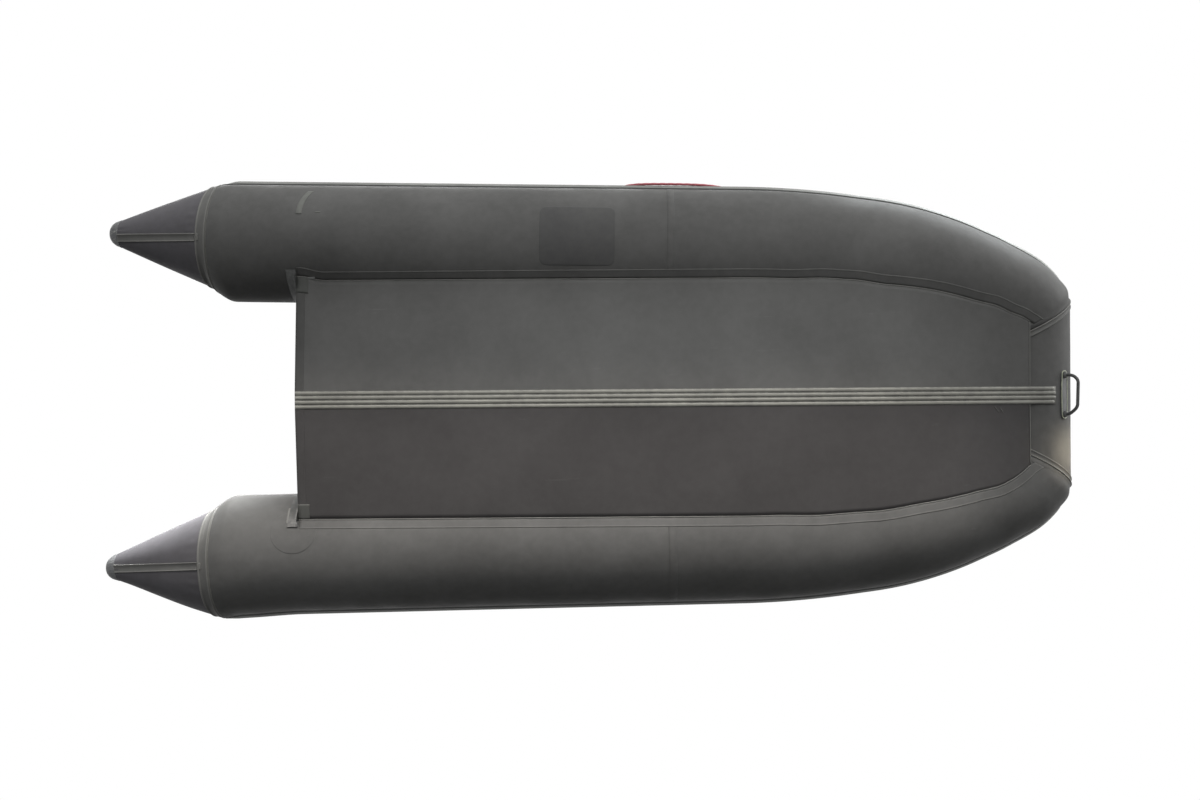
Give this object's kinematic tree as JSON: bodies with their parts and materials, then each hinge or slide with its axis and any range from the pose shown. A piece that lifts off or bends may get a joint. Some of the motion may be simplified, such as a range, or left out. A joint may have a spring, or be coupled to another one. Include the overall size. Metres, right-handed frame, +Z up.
{
  "type": "inflatable boat",
  "caption": "Inflatable dinghy with tapered stern cones, a fabric V-bottom with a ribbed keel strip, a mitred blunt bow, a plywood transom, floor panels, sliding seats and rowlocks.",
  "frame": {"origin": "centre of the bounding box's base, on the floor that the tubes stand on", "axes": "+X to the bow, +Y to port, +Z up"},
  "size_m": [3.5078, 1.5704, 0.5793],
  "materials": {
    "tube_fabric": "smooth coated fabric with a soft sheen",
    "bottom_fabric": "matt coated fabric",
    "tape_fabric": "coated tape with a soft sheen",
    "keel_rubber": "ribbed extrusion",
    "black_rubber": "moulded",
    "marine_plywood": "grey painted plywood",
    "aluminium_profile": "anodised",
    "hard_plastic": "moulded with a fine grain"
  },
  "bodies": {
    "hull": {"tube_port": "tube_fabric", "tube_starboard": "tube_fabric", "tube_bow": "tube_fabric", "cone_port": "tube_fabric", "cone_starboard": "tube_fabric", "cone_ring_port": "tape_fabric", "cone_ring_starboard": "tape_fabric", "cone_strip_port": "tape_fabric", "cone_strip_starboard": "tape_fabric", "seam_tape_port": "tape_fabric", "seam_tape_starboard": "tape_fabric", "corner_tape_aft_port": "tape_fabric", "corner_tape_aft_starboard": "tape_fabric", "corner_tape_fore_port": "tape_fabric", "corner_tape_fore_starboard": "tape_fabric", "cone_cap_port": "black_rubber", "cone_cap_starboard": "black_rubber", "rubbing_strake_port": "black_rubber", "rubbing_strake_starboard": "black_rubber", "bow_handle_plate": "black_rubber", "bow_handle_grip": "black_rubber", "transom_holder_port": "black_rubber", "transom_holder_starboard": "black_rubber", "seat_rail_port": "black_rubber", "seat_rail_starboard": "black_rubber", "bottom_skin": "bottom_fabric", "air_keel": "bottom_fabric", "keel_strip": "keel_rubber", "transom_board": "marine_plywood", "floor_panel_aft": "marine_plywood", "floor_panel_middle": "marine_plywood", "floor_panel_bow": "marine_plywood", "floor_joint_aft": "aluminium_profile", "floor_joint_fore": "aluminium_profile", "floor_stringer_port": "aluminium_profile", "floor_stringer_starboard": "aluminium_profile", "motor_pad": "hard_plastic", "clamp_pad": "hard_plastic", "drain_valve": "hard_plastic", "valve_port": "hard_plastic", "valve_starboard": "hard_plastic", "rowlock_base_port": "hard_plastic", "rowlock_base_starboard": "hard_plastic", "line_eye_aft_port": "black_rubber", "line_eye_aft_starboard": "black_rubber", "line_eye_middle_port": "black_rubber", "line_eye_middle_starboard": "black_rubber", "line_eye_fore_port": "black_rubber", "line_eye_fore_starboard": "black_rubber"},
    "seat_fore": {"seat_fore": "marine_plywood"},
    "seat_aft": {"seat_aft": "marine_plywood"},
    "rowlock_port": {"rowlock_horn_port": "hard_plastic"},
    "rowlock_starboard": {"rowlock_horn_starboard": "hard_plastic"}
  },
  "joints": [
    {"name": "seat_fore_slide", "type": "slide", "parent": "hull", "child": "seat_fore", "axis": [1, 0, 0], "range_m": [-0.12, 0.12]},
    {"name": "seat_aft_slide", "type": "slide", "parent": "hull", "child": "seat_aft", "axis": [1, 0, 0], "range_m": [-0.12, 0.12]},
    {"name": "rowlock_port_turn", "type": "hinge", "parent": "hull", "child": "rowlock_port", "pos_m": [0, 0.5343, 0.44], "axis": [0, 0, 1], "continuous": true},
    {"name": "rowlock_starboard_turn", "type": "hinge", "parent": "hull", "child": "rowlock_starboard", "pos_m": [0, -0.5343, 0.44], "axis": [0, 0, 1], "continuous": true}
  ]
}
